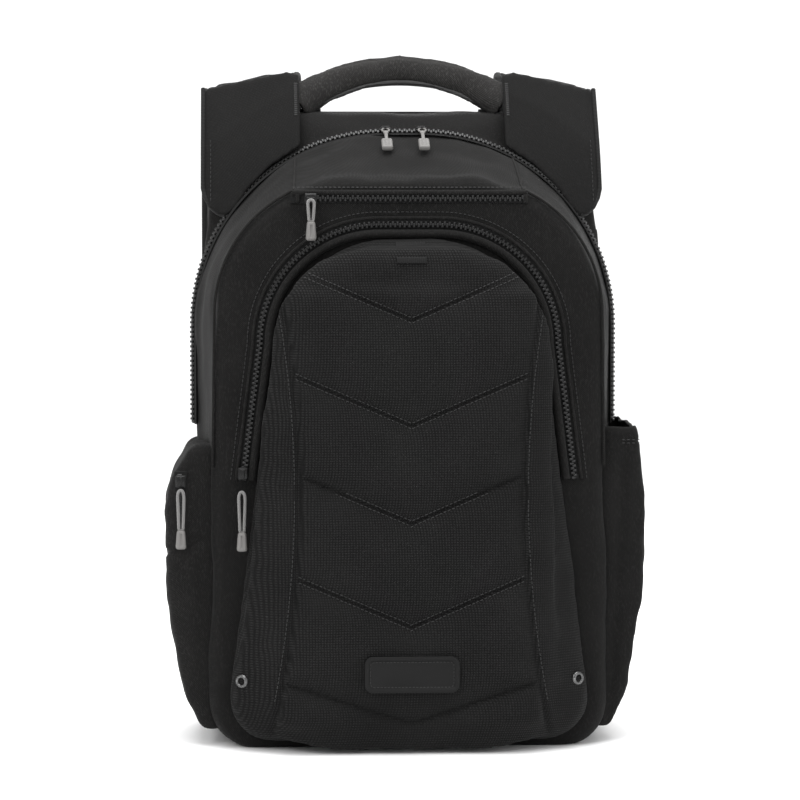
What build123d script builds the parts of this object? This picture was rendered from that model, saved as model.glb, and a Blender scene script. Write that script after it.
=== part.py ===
from build123d import *
import math
import os

# School backpack, millimetres. The front faces -Y, +Z is up, and the origin is on the floor
# under the middle of the bag. "left" is the -X side, as seen from the front.

# ---- driving dimensions -------------------------------------------------------------------
body_half_width = 160.0      # half the width over the main compartment
main_zip_height = 460.0      # top of the arched main zip
back_height = 476.0          # top edge of the back board
main_corner = 146.0          # radius of the main zip's two top corners
body_foot = 30.0             # radius of the body's bottom corners
back_half_width = 152.0
back_corner = 62.0
back_narrowing = 4.0
wall = 3.0                   # fabric, foam and lining of a wall together
clearance = 0.4              # between pieces that move against each other

back_face = 90.0             # rear face of the back board
board_thickness = 6.0
zip_plane = 30.0             # rear edge of the main zip chain
zip_width = 3.6              # the main chain measured front to back
section_face = -52.0         # front edge of the front section's gusset
pocket_face = -88.0          # front edge of the front pocket's gusset

section_half_width = 148.0   # front section
section_height = main_zip_height - 35.0
section_foot = 34.0
section_narrowing = 6.0
section_corner = 100.0
pocket_half_width = 138.5    # front pocket where it meets the front section
pocket_narrowing = 47.0      # how much narrower it is at its top, each side
pocket_height = section_height - 43.0
pocket_base = 6.0
pocket_foot = 40.0
pocket_corner = 78.5
quilt_half_width = 98.0      # quilted centre panel
quilt_base = 16.0
quilt_height = pocket_height - 19.5
quilt_corner = 60.0
quilt_foot = 40.0
quilt_narrowing = 8.0

fold_height = 198.0          # the fold line across the front, where the flaps hinge
main_zip_end = 236.0         # where the main zip stops on each side

yoke_seam_height = 300.0      # where the rear gusset meets the yoke

teeth_depth = 3.0            # how far a chain stands off the cloth
chain_width = 6.0
zip_flange = 6.5             # flat border and piping between the front pocket and its zip
cord_diameter = 2.3
grip_width = 8.0
grip_length = 15.0
grip_thickness = 4.6

handle_half_span = 78.0
handle_top = 522.0
handle_thickness = 22.0
handle_width = 16.0
tab_height = 4.0

strap_inner = 80.0           # inner edge of a shoulder strap
strap_width = 72.0
strap_thickness = 10.0
webbing_width = 25.0
webbing_thickness = 2.0

left_pocket_top = 228.0
right_pocket_top = 242.0
side_pocket_bulge = 181.0    # widest point of a side pocket
pocket_wall = 2.5
eyelet_outer = 5.2
eyelet_bore = 2.5

hinge_line = pocket_face - wall
os.makedirs("parts", exist_ok=True)


def write(shape, name):
    """Writes one node."""
    export_step(shape, "parts/" + name + ".step")


def upright(y):
    """A drawing plane at y, with X to the right and Z up."""
    return Plane(origin=(0, y, 0), x_dir=(1, 0, 0), z_dir=(0, -1, 0))


def outline(y, half_width, base, top, corner, foot, narrowing=0.0, grow=0.0):
    """The arched outline of a bag section: round top corners and smaller bottom ones."""
    low = base - grow
    high = top + grow
    bottom = half_width + grow
    shoulder = half_width - narrowing + grow
    with BuildSketch(upright(y)) as sketch:
        with BuildLine():
            Polyline((-bottom, low), (bottom, low), (shoulder, high), (-shoulder, high), close=True)
        make_face()
        fillet(sketch.vertices().sort_by(Axis.Y)[-2:], corner + grow)
        fillet(sketch.vertices().sort_by(Axis.Y)[:2], foot + grow)
    return sketch.sketch


def main_outline(y, grow=0.0):
    return outline(y, body_half_width, 0, main_zip_height, main_corner, body_foot, 0, grow)


def back_outline(y, grow=0.0):
    return outline(y, back_half_width, 0, back_height, back_corner, body_foot, back_narrowing, grow)


def section_outline(y, grow=0.0):
    return outline(y, section_half_width, 0, section_height, section_corner, section_foot,
                   section_narrowing, grow)


def pocket_outline(y, grow=0.0):
    return outline(y, pocket_half_width, pocket_base, pocket_height, pocket_corner, pocket_foot,
                   pocket_narrowing, grow)


def quilt_outline(y, grow=0.0):
    return outline(y, quilt_half_width, quilt_base, quilt_height, quilt_corner, quilt_foot,
                   quilt_narrowing, grow)


def between(rear, front):
    """A solid between two outlines."""
    return loft([rear, front], ruled=True)


def plate(face, thickness):
    """A plate that grows towards the front from its outline."""
    return extrude(face, amount=thickness)


def block(x0, x1, y0, y1, z0, z1):
    """A box between two corners."""
    middle = Location(((x0 + x1) / 2, (y0 + y1) / 2, (z0 + z1) / 2))
    return middle * Box(x1 - x0, y1 - y0, z1 - z0)


# The cut between what stays on the pack and what folds forward: it rises from the fold line at
# the front to the ends of the main zip at the back.
rise = math.atan2(main_zip_end - fold_height, zip_plane - zip_width - hinge_line)
cut_normal = (0, -math.sin(rise), math.cos(rise))


def above_fold(shape):
    cut = Plane(origin=(0, hinge_line, fold_height), z_dir=cut_normal).offset(clearance)
    return split(shape, bisect_by=cut, keep=Keep.TOP)


def below_fold(shape):
    cut = Plane(origin=(0, hinge_line, fold_height), z_dir=cut_normal).offset(-clearance)
    return split(shape, bisect_by=cut, keep=Keep.BOTTOM)


# ---- back board, pads and sleeve ----------------------------------------------------------
board_front = back_face - board_thickness
write(plate(back_outline(back_face), board_thickness), "back_board")

pad_thickness = 10.0
for side, name in ((-1, "left"), (1, "right")):
    x0, x1 = sorted((side * 12, side * 74))
    pad = block(x0, x1, back_face, back_face + pad_thickness, 120, 425)
    pad = fillet(pad.edges().filter_by(Axis.Y), 24)
    write(pad, "back_pad_" + name)
lumbar = block(-98, 98, back_face, back_face + pad_thickness + 2, 40, 112)
write(fillet(lumbar.edges().filter_by(Axis.Y), 24), "lumbar_pad")

sleeve_gap = 26.0
sleeve_face = board_front - sleeve_gap
sleeve_half_width = 152 - wall - 3.5
sleeve = outline(sleeve_face, sleeve_half_width, wall + 0.3, 330, 30, 30)
write(plate(sleeve, wall), "laptop_sleeve")

# ---- gussets ------------------------------------------------------------------------------
rear_outer = between(back_outline(board_front), main_outline(zip_plane))
rear_inner = between(back_outline(board_front, -wall), main_outline(zip_plane, -wall))
rear_ring = rear_outer - rear_inner
yoke_seam = Plane(origin=(0, 0, yoke_seam_height), z_dir=(0, 0, 1))
write(split(rear_ring, bisect_by=yoke_seam, keep=Keep.BOTTOM), "rear_gusset")
write(split(rear_ring, bisect_by=yoke_seam, keep=Keep.TOP), "rear_yoke")

zip_front = zip_plane - zip_width
section_outer = between(main_outline(zip_front), section_outline(section_face))
section_inner = between(main_outline(zip_front, -wall), section_outline(section_face, -wall))
section_ring = section_outer - section_inner
write(above_fold(section_ring), "front_section_gusset")

join_ring = plate(main_outline(zip_plane), zip_width) - plate(main_outline(zip_plane, -wall), zip_width)
below_zip = block(-400, 400, 0, 60, -10, main_zip_end - clearance)
write((join_ring & below_zip) + below_fold(section_ring), "lower_gusset")

chain = plate(main_outline(zip_plane, 1.5), zip_width - clearance)
chain -= plate(main_outline(zip_plane, -1.5), zip_width - clearance)
write(chain - block(-400, 400, 0, 60, -10, main_zip_end), "main_zip_chain")

# ---- front section and front pocket -------------------------------------------------------
panel_face = section_face - wall
panel = plate(section_outline(section_face), wall)
write(above_fold(panel), "front_section_panel")
write(below_fold(panel), "lower_panel")

pocket_outer = between(pocket_outline(panel_face), quilt_outline(pocket_face))
pocket_inner = between(pocket_outline(panel_face, -wall), quilt_outline(pocket_face, -wall))
pocket_ring = pocket_outer - pocket_inner
quilt = plate(quilt_outline(pocket_face), wall)
write(above_fold(pocket_ring), "pocket_gusset")
lower_pocket = below_fold(pocket_ring)
write(above_fold(quilt), "quilt_upper")
write(below_fold(quilt), "quilt_lower")

pocket_chain = plate(pocket_outline(panel_face, zip_flange + chain_width), teeth_depth)
pocket_chain -= plate(pocket_outline(panel_face, zip_flange + clearance), teeth_depth)
write(above_fold(pocket_chain), "front_pocket_zip")

top_zip_height = section_height - 14.0
top_zip_half = 86.0
top_chain_low = top_zip_height - chain_width / 2
top_chain = block(-top_zip_half, top_zip_half, panel_face - teeth_depth, panel_face, top_chain_low,
                  top_chain_low + chain_width)
write(top_chain, "top_pocket_zip")

# ---- badge, label, eyelets and the small sewn tab ------------------------------------------
badge_half = 35.0
badge_low = 48.0
badge_height = 27.0
label_half = 11.0
label_height = 16.0
label_low = quilt_height - 2.5 - label_height
badge = block(-badge_half, badge_half, hinge_line - 1.8, hinge_line, badge_low, badge_low + badge_height)
write(fillet(badge.edges().filter_by(Axis.Y), 6), "badge_patch")
write(block(-label_half, label_half, hinge_line - 1.0, hinge_line, label_low, label_low + label_height), "woven_label")

eyelet_height = 54.0
eyelet_side = 124.0
eyelet_depth = 5.0
slope_rise = panel_face - pocket_face
slope_run = pocket_half_width - pocket_narrowing * eyelet_height / pocket_height - quilt_half_width
lean = math.atan2(slope_rise, slope_run)
edge_x = pocket_half_width - pocket_narrowing * eyelet_height / pocket_height
eyelet_y = panel_face - (edge_x - eyelet_side) * slope_rise / slope_run
eyelet_ring = Cylinder(eyelet_outer, eyelet_depth) - Cylinder(eyelet_bore, eyelet_depth)
eyelets = []
for side in (-1, 1):
    place = Plane(origin=(side * eyelet_side, eyelet_y, eyelet_height),
                  z_dir=(side * math.sin(lean), -math.cos(lean), 0)).location
    eyelets.append(place * eyelet_ring)
    lower_pocket -= place * Cylinder(eyelet_outer, eyelet_depth)
print("eyelet at", eyelet_side, round(eyelet_y, 3), "lean", round(math.degrees(lean), 3))
write(Compound(children=eyelets), "eyelets")
write(lower_pocket, "lower_pocket_gusset")

# ---- side pockets --------------------------------------------------------------------------
bag_solid = between(main_outline(zip_front, 0.3), section_outline(section_face, 0.3))
bag_solid += extrude(main_outline(zip_plane, 0.3), amount=zip_width)
bag_solid += between(back_outline(board_front, 0.3), main_outline(zip_plane, 0.3))
flap_path = block(-body_half_width - 0.6, body_half_width + 0.6, -120, 120, 190, 420)
pocket_front = -44.0
pocket_rear = 62.0


def side_pocket(side, top, shoulder):
    """A bellows pocket on the side: its outer profile, and the hollow behind it."""
    outer = [(130, 10), (152, 10), (168, 40), (side_pocket_bulge, 120), (side_pocket_bulge, 190)]
    outer += [(shoulder, top), (130, top)]
    with BuildSketch(upright(pocket_rear)) as profile:
        with BuildLine():
            Polyline([(side * x, z) for x, z in outer], close=True)
        make_face()
    solid = extrude(profile.sketch, amount=pocket_rear - pocket_front)
    return solid


def pocket_hollow(side, top, shoulder, mouth):
    outer = [(120, 10 + pocket_wall), (150, 10 + pocket_wall), (165.5, 41), (178.3, 120.5)]
    outer += [(178.3, 189.5), (shoulder - pocket_wall, top + mouth), (120, top + mouth)]
    with BuildSketch(upright(pocket_rear - pocket_wall)) as profile:
        with BuildLine():
            Polyline([(side * x, z) for x, z in outer], close=True)
        make_face()
    return extrude(profile.sketch, amount=pocket_rear - pocket_front - 2 * pocket_wall)


left_pocket = side_pocket(-1, left_pocket_top, 164) - pocket_hollow(-1, left_pocket_top, 164, -pocket_wall)
left_pocket = left_pocket - bag_solid - flap_path
write(left_pocket, "left_pocket")
right_pocket = side_pocket(1, right_pocket_top, 173) - pocket_hollow(1, right_pocket_top, 173, 1)
right_pocket = right_pocket - bag_solid - flap_path
write(right_pocket, "right_pocket")

# ---- sliders and their pulls ---------------------------------------------------------------
slider_width = 8.0
slider_rise = 4.0
pivot_radius = 2.2
arc_centre_x = body_half_width - main_corner
chain_top = main_zip_height + 1.5
slider_base = chain_top + clearance
main_pull_length = 38.0
main_slope = math.atan2(main_zip_height - section_height, zip_front - section_face)
pull_turn = 90 - math.degrees(main_slope)


def moulded_pull(length):
    """A one-piece pull that hangs down from its pivot at the origin: eye, stem and grip."""
    eye = Rotation(0, 90, 0) * Cylinder(pivot_radius, 5)
    stem = block(-1.4, 1.4, -1.0, 1.0, -(length - grip_length), 0)
    grip = block(-grip_width / 2, grip_width / 2, -grip_thickness / 2, grip_thickness / 2, -length,
                 -(length - grip_length))
    grip = fillet(grip.edges().filter_by(Axis.Y), 2.4)
    return eye + stem + grip


for side, name in ((-1, "left"), (1, "right")):
    x = side * arc_centre_x
    body = block(x - slider_width / 2, x + slider_width / 2, zip_plane - 5, zip_plane + 1, slider_base,
                 slider_base + slider_rise)
    write(fillet(body.edges().filter_by(Axis.Z), 1.5), "main_slider_" + name)
    pivot_y = zip_plane - 5 - pivot_radius - clearance
    pull = Location((x, pivot_y, slider_base + 1.8), (-pull_turn, 0, 0)) * moulded_pull(main_pull_length)
    write(pull, "main_pull_" + name)


def cord_and_grip(x, y, z, drop, name):
    """A cord looped over a slider's bail at (x, y, z), with its two ends in a rubber grip."""
    spread = 2.5
    gather = 1.5
    waist = 2.1
    route = [
        (x - gather, y, z - drop),
        (x - waist, y, z - drop * 0.45),
        (x - spread, y, z),
        (x + spread, y, z),
        (x + waist, y, z - drop * 0.55),
        (x + gather, y, z - drop),
    ]
    runs = [Vector(*b) - Vector(*a) for a, b in zip(route, route[1:])]
    radii = []
    for first, second in zip(runs, runs[1:]):
        half_turn = math.radians(first.get_angle(second)) / 2
        radii.append(0.45 * min(first.length, second.length) / math.tan(half_turn))
    path = FilletPolyline(*route, radius=radii)
    start = Plane(origin=route[0], z_dir=runs[0])
    tube = sweep(start * Circle(cord_diameter / 2), path=path)
    length = path.length
    expected = math.pi * cord_diameter ** 2 / 4 * length
    print(name, "radii", [round(r, 2) for r in radii], "length", round(length, 1),
          "volume share", round(tube.volume / expected, 4))
    write(tube, name + "_cord")
    top = z - drop - 0.15
    grip = block(x - grip_width / 2, x + grip_width / 2, y - grip_thickness / 2, y + grip_thickness / 2,
                 top - grip_length, top)
    write(fillet(grip.edges().filter_by(Axis.Y), 2.0), name + "_grip")


def face_slider(x, front, rear, z0, z1, name):
    """A slider that lies on a chain that faces the front."""
    body = block(x - slider_width / 2, x + slider_width / 2, front, rear, z0, z1)
    write(fillet(body.edges().filter_by(Axis.Y), 1.5), name)


chain_face = panel_face - teeth_depth
cord_gap = 0.5 + cord_diameter / 2

top_slider_x = -(top_zip_half - 13)
top_slider_front = chain_face - clearance - slider_rise
face_slider(top_slider_x, top_slider_front, chain_face - clearance, top_zip_height - 4, top_zip_height + 4,
            "top_slider")
cord_and_grip(top_slider_x, top_slider_front - cord_gap, top_zip_height - 1, 15, "top_pull")

front_slider_low = fold_height + 5
pocket_edge = pocket_half_width - pocket_narrowing * fold_height / pocket_height
front_slider_x = -(pocket_edge + zip_flange + chain_width / 2)
front_slider_front = chain_face - clearance - slider_rise - 2.4
face_slider(front_slider_x, front_slider_front, chain_face - clearance, front_slider_low,
            front_slider_low + 9, "front_slider")
cord_and_grip(front_slider_x - 1, front_slider_front - cord_gap, front_slider_low - 1, 37, "front_pull")

side_chain_x = -170.0
side_chain_top = 206.0
side_chain_length = 34.0
side_chain = block(side_chain_x - chain_width / 2, side_chain_x + chain_width / 2, pocket_front - teeth_depth,
                   pocket_front, side_chain_top - side_chain_length, side_chain_top)
write(side_chain, "side_pocket_zip")
side_rear = pocket_front - teeth_depth - clearance
side_front = side_rear - slider_rise
face_slider(side_chain_x, side_front, side_rear, side_chain_top - 10, side_chain_top - 1, "side_slider")
cord_and_grip(side_chain_x, side_front - cord_gap, side_chain_top - 10.6, 30, "side_pull")

# ---- carry handle --------------------------------------------------------------------------
handle_rear = back_face - 1
handle_front = handle_rear - handle_width
handle_y = (handle_rear + handle_front) / 2
handle_low = back_height + tab_height + clearance
handle_axis = handle_low + handle_width / 2
inner_top = handle_top - handle_thickness
inner_half = handle_half_span - handle_width


def arch_strip(half_out, side_out, top_out, half_in, side_in, top_in, rear, depth):
    """A strip between two arcs that rise from both sides to the middle."""
    with BuildSketch(upright(rear)) as sketch:
        with BuildLine():
            ThreePointArc((-half_out, side_out), (0, top_out), (half_out, side_out))
            Line((half_out, side_out), (half_in, side_in))
            ThreePointArc((half_in, side_in), (0, top_in), (-half_in, side_in))
            Line((-half_in, side_in), (-half_out, side_out))
        make_face()
    return extrude(sketch.sketch, amount=depth)


handle = arch_strip(handle_half_span, handle_axis, handle_top, inner_half, handle_axis, inner_top,
                    handle_rear, handle_width)
for side in (-1, 1):
    middle = side * (handle_half_span + inner_half) / 2
    handle += Location((middle, handle_y, handle_axis), (0, 90, 0)) * Cylinder(handle_width / 2, handle_width)
write(handle, "handle_pad")
lining = 1.6
webbing = arch_strip(inner_half, handle_axis, inner_top, inner_half, handle_axis - lining,
                     inner_top - lining, handle_rear - 2, handle_width - 4)
write(webbing, "handle_webbing")
tabs = []
for side in (-1, 1):
    x0, x1 = sorted((side * inner_half, side * handle_half_span))
    tabs.append(block(x0, x1, handle_front, handle_rear, back_height, back_height + tab_height))
write(Compound(children=tabs), "handle_tabs")

# ---- shoulder straps -----------------------------------------------------------------------
yoke_face = back_face + 4.0
yoke_top = back_height - 4
write(block(-150, 150, back_face, yoke_face, yoke_top - 34, yoke_top), "strap_yoke")

strap_root_y = yoke_face + strap_thickness / 2 + 0.9
strap_root_z = yoke_top - 1
strap_crest = 507.0
strap_back = 134.0
strap_end_y = 126.0
strap_end_z = 178.0
lock_height = 26.0
lock_width = 36.0
lock_depth = 5.0
anchor_top = 30.0
anchor_rear = 98.0
with BuildSketch(Plane.YZ) as strap_side:
    with BuildLine() as strap_line:
        FilletPolyline(
            (strap_root_y, strap_root_z), (strap_root_y + 1, strap_crest - 11), (116, strap_crest),
            (strap_back - 3, strap_crest - 29), (strap_back, 300), (strap_end_y, strap_end_z), radius=9)
    trace(line_width=strap_thickness)
    with Locations((strap_root_y, strap_root_z)):
        Circle(strap_thickness / 2)

for side, name in ((-1, "left"), (1, "right")):
    outer = side * (strap_inner + strap_width)
    start = min(side * strap_inner, outer)
    middle = side * (strap_inner + strap_width / 2)
    strap = Location((start, 0, 0)) * extrude(strap_side.sketch, amount=strap_width)
    write(strap, "shoulder_strap_" + name)

    lock_top = strap_end_z - 0.8
    lock_low = lock_top - lock_height
    lock = block(middle - lock_width / 2, middle + lock_width / 2, strap_end_y - lock_depth / 2,
                 strap_end_y + lock_depth / 2, lock_low, lock_top)
    slot = webbing_width + 2
    for low in (lock_low + 4, lock_low + 15):
        lock -= block(middle - slot / 2, middle + slot / 2, strap_end_y - lock_depth, strap_end_y + lock_depth,
                      low, low + 7)
    write(lock, "ladder_lock_" + name)

    tail_y = strap_end_y + lock_depth / 2
    tail = block(middle - webbing_width / 2, middle + webbing_width / 2, tail_y, tail_y + webbing_thickness,
                 lock_low - 60, lock_top - 4)
    write(tail, "webbing_tail_" + name)

    anchor = block(middle - webbing_width / 2 - 2, middle + webbing_width / 2 + 2, back_face, anchor_rear,
                   anchor_top - 14, anchor_top)
    write(fillet(anchor.edges().filter_by(Axis.X), 1.5), "strap_anchor_" + name)

    foot = (anchor_rear - 1, anchor_top + 0.7)
    head = (strap_end_y, lock_low - 2.2)
    with BuildSketch(Plane.YZ) as webbing_side:
        with BuildLine():
            Line(foot, head)
        trace(line_width=webbing_thickness)
    lower = extrude(webbing_side.sketch, amount=webbing_width)
    write(Location((middle - webbing_width / 2, 0, 0)) * lower, "lower_webbing_" + name)
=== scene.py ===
import math
import bmesh
import bpy
from mathutils import Matrix, Vector, noise
from mathutils.bvhtree import BVHTree


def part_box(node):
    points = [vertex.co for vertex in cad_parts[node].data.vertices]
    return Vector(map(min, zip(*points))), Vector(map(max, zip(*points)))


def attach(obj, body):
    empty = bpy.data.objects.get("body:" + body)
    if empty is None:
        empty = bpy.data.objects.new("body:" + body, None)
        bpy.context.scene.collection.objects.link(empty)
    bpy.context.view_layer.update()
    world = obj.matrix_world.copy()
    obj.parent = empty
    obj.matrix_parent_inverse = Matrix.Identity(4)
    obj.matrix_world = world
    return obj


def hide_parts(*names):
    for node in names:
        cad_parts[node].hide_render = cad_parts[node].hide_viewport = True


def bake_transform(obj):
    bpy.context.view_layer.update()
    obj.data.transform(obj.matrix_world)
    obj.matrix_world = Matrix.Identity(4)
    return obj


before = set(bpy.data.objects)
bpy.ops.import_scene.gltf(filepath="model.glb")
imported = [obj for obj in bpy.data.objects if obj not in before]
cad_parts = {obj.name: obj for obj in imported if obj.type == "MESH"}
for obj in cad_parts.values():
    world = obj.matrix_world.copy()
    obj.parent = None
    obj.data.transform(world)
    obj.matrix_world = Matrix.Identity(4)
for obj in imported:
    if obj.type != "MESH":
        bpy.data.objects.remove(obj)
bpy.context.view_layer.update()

MM = 0.001
FRONT = Vector((0, -1, 0))                        # the way the front faces
SIDES = ((-1, "left"), (1, "right"))

# ---- sizes that the soft shapes share with the frame, in millimetres --------------------------
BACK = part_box("back_board")[0][1] / MM            # front face of the back board
ZIP_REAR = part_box("main_zip_chain")[1][1] / MM
ZIP_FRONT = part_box("main_zip_chain")[0][1] / MM
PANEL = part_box("front_section_panel")[0][1] / MM  # front face of the front section
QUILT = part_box("quilt_lower")[0][1] / MM          # front face of the quilted panel
FOLD = 198.0                                      # height of the fold line across the front
ZIP_END = 236.0                                   # where the main zip stops at the sides
ZIP_WIDTH = 3.6                                   # the main chain, front to back
PANEL_RUN = 26.4 + 52                             # depth over which the upper panel slopes
MAIN = dict(half=160, base=0, top=460, corner=146, foot=30, narrowing=0)
REAR = dict(half=152, base=0, top=476, corner=62, foot=30, narrowing=4)
SECTION = dict(half=148, base=0, top=425, corner=100, foot=34, narrowing=6)
POCKET = dict(half=138.5, base=6, top=382, corner=78.5, foot=40, narrowing=47)
FLANGE = 6.5                                      # border between the front pocket and its zip
CENTRE = dict(half=98, base=16, top=362.5, corner=60, foot=40, narrowing=8)


# ---- shader helpers ---------------------------------------------------------------------------
class Socket:
    """One shader value. Arithmetic on it adds Math nodes."""

    def __init__(self, finish, socket):
        self.finish = finish
        self.socket = socket

    def math(self, operation, *others):
        values = [self, *others]
        return self.finish.node("ShaderNodeMath", {"operation": operation}, dict(enumerate(values)))

    def __add__(self, other):
        return self.math("ADD", other)

    def __mul__(self, other):
        return self.math("MULTIPLY", other)

    __radd__ = __add__
    __rmul__ = __mul__

    def __sub__(self, other):
        return self.math("SUBTRACT", other)

    def __rsub__(self, other):
        return self.finish.node("ShaderNodeMath", {"operation": "SUBTRACT"}, {0: other, 1: self})

    def wave(self, period):
        """A sine of this value, from 0 to 1, that repeats each period."""
        turned = self * (2 * math.pi / period)
        return turned.math("SINE") * 0.5 + 0.5

    def step(self, low, high):
        settings = {"interpolation_type": "SMOOTHSTEP"}
        return self.finish.node("ShaderNodeMapRange", settings, {0: self, 1: low, 2: high})


class Finish:
    """A material, and the one method that adds a node to it."""

    def __init__(self, name, roughness, metallic=0.0, **sockets):
        self.material = bpy.data.materials.new(name)
        self.material.use_nodes = True
        self.tree = self.material.node_tree
        self.shader = self.tree.nodes["Principled BSDF"]
        self.shader.inputs["Roughness"].default_value = roughness
        self.shader.inputs["Metallic"].default_value = metallic
        for socket, value in sockets.items():
            self.shader.inputs[socket.replace("_", " ")].default_value = value

    def node(self, kind, settings, inputs, output=0):
        node = self.tree.nodes.new(kind)
        for key, value in settings.items():
            setattr(node, key, value)
        for key, value in inputs.items():
            if isinstance(value, Socket):
                self.tree.links.new(value.socket, node.inputs[key])
            else:
                node.inputs[key].default_value = value
        return Socket(self, node.outputs[output])

    def place(self):
        """Object coordinates in millimetres, as x, y and z."""
        where = self.node("ShaderNodeTexCoord", {}, {}, "Object")
        scaled = self.node("ShaderNodeVectorMath", {"operation": "SCALE"}, {0: where, "Scale": 1000.0})
        split = self.node("ShaderNodeSeparateXYZ", {}, {0: scaled})
        node = split.socket.node
        return scaled, [Socket(self, node.outputs[axis]) for axis in range(3)]

    def noise(self, where, scale, detail=3.0, rough=0.55):
        return self.node("ShaderNodeTexNoise", {}, {"Vector": where, "Scale": scale, "Detail": detail,
                                                    "Roughness": rough})

    def mix(self, amount, first, second):
        return self.node("ShaderNodeMix", {"data_type": "RGBA"}, {0: amount, 6: first, 7: second}, 2)

    def feed(self, socket, value):
        self.tree.links.new(value.socket, self.shader.inputs[socket])

    def bump(self, height, distance, strength=1.0):
        normal = self.node("ShaderNodeBump", {}, {"Height": height, "Distance": distance * MM,
                                                  "Strength": strength})
        self.feed("Normal", normal)


def tone(level, warm=0.0):
    """A near-neutral linear colour, a little warmer or cooler."""
    return (level * (1 + warm), level, level * (1 - warm), 1.0)


def twill(name, dark, light, period, heather, sheen=0.05, warm=0.03):
    """Polyester twill: fine diagonal ribs with lighter threads scattered through it."""
    f = Finish(name, 0.78, Sheen_Weight=sheen, Sheen_Roughness=0.45, Specular_IOR_Level=0.10)
    f.shader.inputs["Sheen Tint"].default_value = tone(0.55)
    where, (x, y, z) = f.place()
    across = x + y * 0.83
    rib = (across + z * 0.9).wave(period)
    thread = (z - across * 0.35).wave(period * 0.71)
    stretched = f.node("ShaderNodeMapping", {}, {"Vector": where, "Scale": (1.0, 1.0, 0.34)})
    fleck = f.noise(stretched, 1.25, 2.0).step(0.5, 0.68)
    cloud = f.noise(where, 0.018, 3.0)
    amount = rib * 0.34 + thread * 0.16 + fleck * heather + (cloud - 0.5) * 0.5
    f.feed("Base Color", f.mix(amount, tone(dark, warm), tone(light, warm)))
    f.feed("Roughness", 0.72 + thread * 0.16)
    f.bump(rib * 0.7 + thread * 0.3 + fleck * 0.3, 0.22, 0.7)
    return f.material


def oxford(name, dark, light, period):
    """A coarser basket weave whose thread crossings show as rows of dots."""
    f = Finish(name, 0.7, Sheen_Weight=0.04, Sheen_Roughness=0.5, Specular_IOR_Level=0.10)
    f.shader.inputs["Sheen Tint"].default_value = tone(0.5)
    where, (x, y, z) = f.place()
    drift = f.noise(where, 0.02, 2.0) * 2.4
    dots = (x + y * 0.8 + drift).wave(period) * (z + drift * 0.6).wave(period * 0.9)
    fleck = f.noise(where, 1.1, 2.0).step(0.42, 0.7)
    cloud = f.noise(where, 0.02, 3.0)
    amount = dots * 0.75 + fleck * 0.35 + (cloud - 0.5) * 0.5
    f.feed("Base Color", f.mix(amount, tone(dark, 0.01), tone(light, 0.01)))
    f.feed("Roughness", 0.82 - dots * 0.24)
    f.bump(dots + fleck * 0.2, 0.35, 0.8)
    return f.material


def ribbed(name, level, period, across="x"):
    """Woven tape: ribs that run across it."""
    f = Finish(name, 0.66, Sheen_Weight=0.03, Specular_IOR_Level=0.12)
    where, axes = f.place()
    lane = axes["xyz".index(across)]
    rib = lane.wave(period)
    fleck = f.noise(where, 0.9, 2.0)
    f.feed("Base Color", f.mix(rib * 0.6 + fleck * 0.4, tone(level * 0.45), tone(level * 1.5)))
    f.bump(rib + fleck * 0.3, 0.3, 0.9)
    return f.material


def spacer_mesh(name):
    """Open air mesh: staggered round holes over dark foam."""
    f = Finish(name, 0.85, Sheen_Weight=0.04, Specular_IOR_Level=0.12)
    where, (x, _, z) = f.place()
    holes = x.wave(3.2) * z.wave(3.2)
    hole = holes.step(0.45, 0.7)
    fleck = f.noise(where, 0.8, 2.0)
    f.feed("Base Color", f.mix(hole, f.mix(fleck, tone(0.014), tone(0.03)), tone(0.004)))
    f.bump(1 - hole, 0.8, 1.0)
    return f.material


def moulded(name, level, roughness, warm=0.0, grain=0.25, **sockets):
    """Moulded plastic or rubber with a fine spark-eroded grain and slight scuffs."""
    f = Finish(name, roughness, **sockets)
    where, _ = f.place()
    fine = f.noise(where, 3.2, 3.0)
    scuff = f.noise(where, 0.35, 4.0).step(0.55, 0.75)
    f.feed("Base Color", f.mix(fine * 0.5 + scuff * 0.5, tone(level * 0.86, warm), tone(level * 1.16, warm)))
    f.feed("Roughness", roughness - 0.06 + fine * 0.08 + scuff * 0.08)
    f.bump(fine, 0.05, grain)
    return f.material


def enamel(name, level, roughness, metallic):
    """Dark painted or plated metal that is rubbed brighter in places."""
    f = Finish(name, roughness, metallic)
    where, _ = f.place()
    rub = f.noise(where, 0.9, 4.0).step(0.52, 0.8)
    f.feed("Base Color", f.mix(rub, tone(level), tone(level * 3.2)))
    f.feed("Roughness", roughness + rub * 0.12)
    f.bump(f.noise(where, 2.2, 2.0), 0.03, 0.3)
    return f.material


def braided(name, level):
    """Round braided cord: two sets of strands that cross."""
    f = Finish(name, 0.8, Sheen_Weight=0.2)
    _, (x, y, z) = f.place()
    one = (z + x * 1.4 + y).wave(1.15)
    two = (z - x * 1.4 - y).wave(1.15)
    f.feed("Base Color", f.mix(one * two, tone(level * 0.7, 0.02), tone(level * 1.15, 0.02)))
    f.bump(one + two, 0.25, 0.9)
    return f.material


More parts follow.
